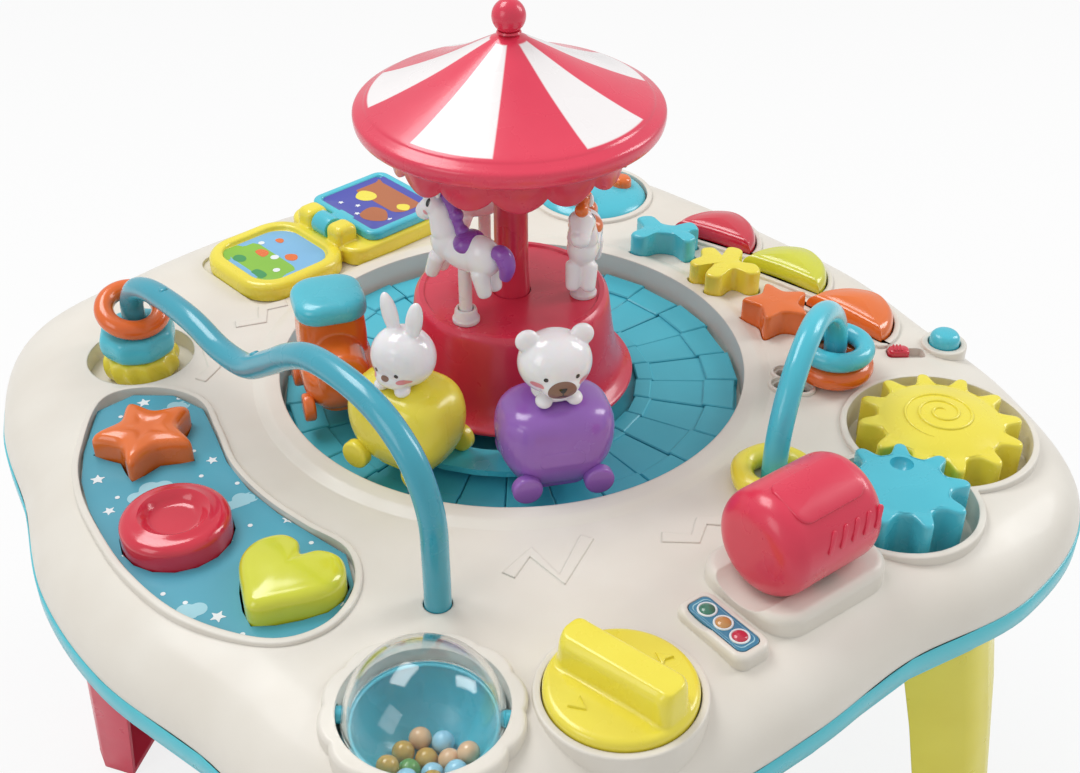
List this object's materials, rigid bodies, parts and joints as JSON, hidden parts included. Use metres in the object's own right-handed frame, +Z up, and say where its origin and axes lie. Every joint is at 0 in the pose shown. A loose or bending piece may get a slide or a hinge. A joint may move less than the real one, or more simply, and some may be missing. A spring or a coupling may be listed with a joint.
{
  "type": "baby activity table",
  "caption": "Play table for a baby: a lobed top on four legs, with a turning carousel and train, gears, buttons, a roller, a rattle ball, a page and bead tubes.",
  "frame": {"origin": "middle of the bounding box in plan, on the floor", "axes": "+Z up; the buttons' side is -X, the gears' corner is +X -Y, the book's side is +Y"},
  "size_m": [0.3882, 0.3938, 0.4246],
  "materials": {
    "cream": "satin",
    "teal": "moulded gloss",
    "deep_teal": "satin",
    "red": "moulded gloss",
    "rose": "moulded gloss",
    "yellow": "moulded gloss",
    "lime": "moulded gloss",
    "orange": "moulded gloss",
    "purple": "moulded gloss",
    "gloss_white": "moulded gloss",
    "panel_blue": "satin",
    "clear": "clear gloss",
    "steel": "bright pin",
    "board": "satin",
    "dark": "satin"
  },
  "bodies": {
    "table": {"top_shell": "cream", "bottom_shell": "teal", "battery_door": "teal", "leg_left": "rose", "leg_right": "yellow", "leg_front": "yellow", "leg_back": "rose", "circuit_board": "board", "speaker": "dark", "gear_motor": "dark", "track_plate": "deep_teal", "button_panel": "panel_blue", "traffic_light_panel": "panel_blue", "book_base": "yellow", "book_hinge_pin": "steel", "left_bead_tube": "teal", "right_bead_tube": "teal"},
    "carousel": {"train_ring": "teal", "carousel_drum": "rose", "carousel_column": "rose", "carousel_roof": "red", "roof_skirt": "rose", "roof_finial": "rose", "horse_guides": "gloss_white", "loco_body": "orange", "loco_roof": "teal", "yellow_wagon": "yellow", "rabbit_head": "gloss_white", "purple_wagon": "purple", "bear_head": "gloss_white"},
    "purple_horse": {"horse_purple_mane": "gloss_white"},
    "orange_horse": {"horse_orange_mane": "gloss_white"},
    "third_horse": {"horse_third": "gloss_white"},
    "star_button": {"star_button": "orange"},
    "round_button": {"round_button": "rose"},
    "heart_button": {"heart_button": "lime"},
    "red_key": {"key_red": "rose"},
    "lime_key": {"key_lime": "lime"},
    "orange_key": {"key_orange": "orange"},
    "mode_button": {"mode_button": "teal"},
    "power_switch": {"power_switch": "rose"},
    "teal_block": {"block_teal": "teal"},
    "yellow_block": {"block_yellow": "yellow"},
    "orange_block": {"block_orange": "orange"},
    "sun_gear": {"sun_gear": "yellow"},
    "teal_gear": {"teal_gear": "teal"},
    "roller": {"roller": "red"},
    "knob": {"knob": "yellow"},
    "rattle_ball": {"ball_clear_half": "clear", "ball_teal_half": "teal", "ball_beads": "orange"},
    "spinner": {"spinner_disc": "teal", "spinner_pegs": "orange"},
    "book_page": {"book_page": "teal"},
    "yellow_left_ring": {"left_ring_yellow": "yellow"},
    "teal_left_ring": {"left_ring_teal": "teal"},
    "orange_left_ring": {"left_ring_orange": "orange"},
    "yellow_right_ring": {"right_ring_yellow": "yellow"},
    "orange_right_ring": {"right_ring_orange": "orange"},
    "teal_right_ring": {"right_ring_teal": "teal"}
  },
  "joints": [
    {"name": "carousel_spin", "type": "hinge", "parent": "table", "child": "carousel", "pos_m": [0.0105, 0.01315, 0.268], "axis": [0, 0, 1], "continuous": true},
    {"name": "purple_horse_rise", "type": "slide", "parent": "carousel", "child": "purple_horse", "axis": [0, 0, 1], "range_m": [-0.009, 0.001]},
    {"name": "orange_horse_rise", "type": "slide", "parent": "carousel", "child": "orange_horse", "axis": [0, 0, 1], "range_m": [-0.002, 0.008]},
    {"name": "third_horse_rise", "type": "slide", "parent": "carousel", "child": "third_horse", "axis": [0, 0, 1], "range_m": [-0.005, 0.005]},
    {"name": "star_button_press", "type": "slide", "parent": "table", "child": "star_button", "axis": [0, 0, 1], "range_m": [-0.003, 0], "stiffness_N_per_m": 300, "springref_m": 0.002},
    {"name": "round_button_press", "type": "slide", "parent": "table", "child": "round_button", "axis": [0, 0, 1], "range_m": [-0.003, 0], "stiffness_N_per_m": 300, "springref_m": 0.002},
    {"name": "heart_button_press", "type": "slide", "parent": "table", "child": "heart_button", "axis": [0, 0, 1], "range_m": [-0.003, 0], "stiffness_N_per_m": 300, "springref_m": 0.002},
    {"name": "red_key_press", "type": "slide", "parent": "table", "child": "red_key", "axis": [0, 0, 1], "range_m": [-0.003, 0], "stiffness_N_per_m": 250, "springref_m": 0.002},
    {"name": "lime_key_press", "type": "slide", "parent": "table", "child": "lime_key", "axis": [0, 0, 1], "range_m": [-0.003, 0], "stiffness_N_per_m": 250, "springref_m": 0.002},
    {"name": "orange_key_press", "type": "slide", "parent": "table", "child": "orange_key", "axis": [0, 0, 1], "range_m": [-0.003, 0], "stiffness_N_per_m": 250, "springref_m": 0.002},
    {"name": "mode_button_press", "type": "slide", "parent": "table", "child": "mode_button", "axis": [0, 0, 1], "range_m": [-0.003, 0], "stiffness_N_per_m": 150, "springref_m": 0.002},
    {"name": "power_switch_slide", "type": "slide", "parent": "table", "child": "power_switch", "axis": [0.866, -0.5, 0], "range_m": [0, 0.006]},
    {"name": "teal_block_lift", "type": "slide", "parent": "table", "child": "teal_block", "axis": [0, 0, 1], "range_m": [0, 0.05]},
    {"name": "yellow_block_lift", "type": "slide", "parent": "table", "child": "yellow_block", "axis": [0, 0, 1], "range_m": [0, 0.05]},
    {"name": "orange_block_lift", "type": "slide", "parent": "table", "child": "orange_block", "axis": [0, 0, 1], "range_m": [0, 0.05]},
    {"name": "sun_gear_spin", "type": "hinge", "parent": "table", "child": "sun_gear", "pos_m": [0.1285, -0.11485, 0.268], "axis": [0, 0, 1], "continuous": true},
    {"name": "teal_gear_spin", "type": "hinge", "parent": "table", "child": "teal_gear", "pos_m": [0.08516, -0.13988, 0.268], "axis": [0, 0, 1], "continuous": true},
    {"name": "roller_rock", "type": "hinge", "parent": "table", "child": "roller", "pos_m": [0.0285, -0.14885, 0.291], "axis": [0.9945, 0.1045, 0], "range_deg": [-39, 39]},
    {"name": "knob_turn", "type": "hinge", "parent": "table", "child": "knob", "pos_m": [-0.0535, -0.16385, 0.268], "axis": [0, 0, 1], "continuous": true},
    {"name": "rattle_ball_roll", "type": "hinge", "parent": "table", "child": "rattle_ball", "pos_m": [-0.1105, -0.13885, 0.266], "axis": [0.8387, -0.5446, 0], "continuous": true},
    {"name": "spinner_spin", "type": "hinge", "parent": "table", "child": "spinner", "pos_m": [0.1185, 0.11915, 0.268], "axis": [0, 0, 1], "continuous": true},
    {"name": "book_page_turn", "type": "hinge", "parent": "table", "child": "book_page", "pos_m": [-0.0135, 0.14355, 0.2773], "axis": [0.2079, -0.9781, 0], "range_deg": [0, 178]},
    {"name": "yellow_left_ring_turn", "type": "hinge", "parent": "table", "child": "yellow_left_ring", "pos_m": [-0.1205, 0.09795, 0.266], "axis": [0, 0, 1], "continuous": true},
    {"name": "teal_left_ring_turn", "type": "hinge", "parent": "table", "child": "teal_left_ring", "pos_m": [-0.1205, 0.09795, 0.277], "axis": [0, 0, 1], "continuous": true},
    {"name": "orange_left_ring_slide", "type": "slide", "parent": "table", "child": "orange_left_ring", "axis": [0, 0, 1], "range_m": [0, 0.006]},
    {"name": "yellow_right_ring_slide", "type": "slide", "parent": "table", "child": "yellow_right_ring", "axis": [0, 0, 1], "range_m": [0, 0.01]},
    {"name": "orange_right_ring_turn", "type": "hinge", "parent": "table", "child": "orange_right_ring", "pos_m": [0.1181, -0.06325, 0.274], "axis": [0, 0, 1], "continuous": true},
    {"name": "teal_right_ring_slide", "type": "slide", "parent": "table", "child": "teal_right_ring", "axis": [0, 0, 1], "range_m": [0, 0.003]}
  ],
  "couplings": [
    {"joint": "teal_gear_spin", "follows": "sun_gear_spin", "ratio": -1.3333}
  ]
}
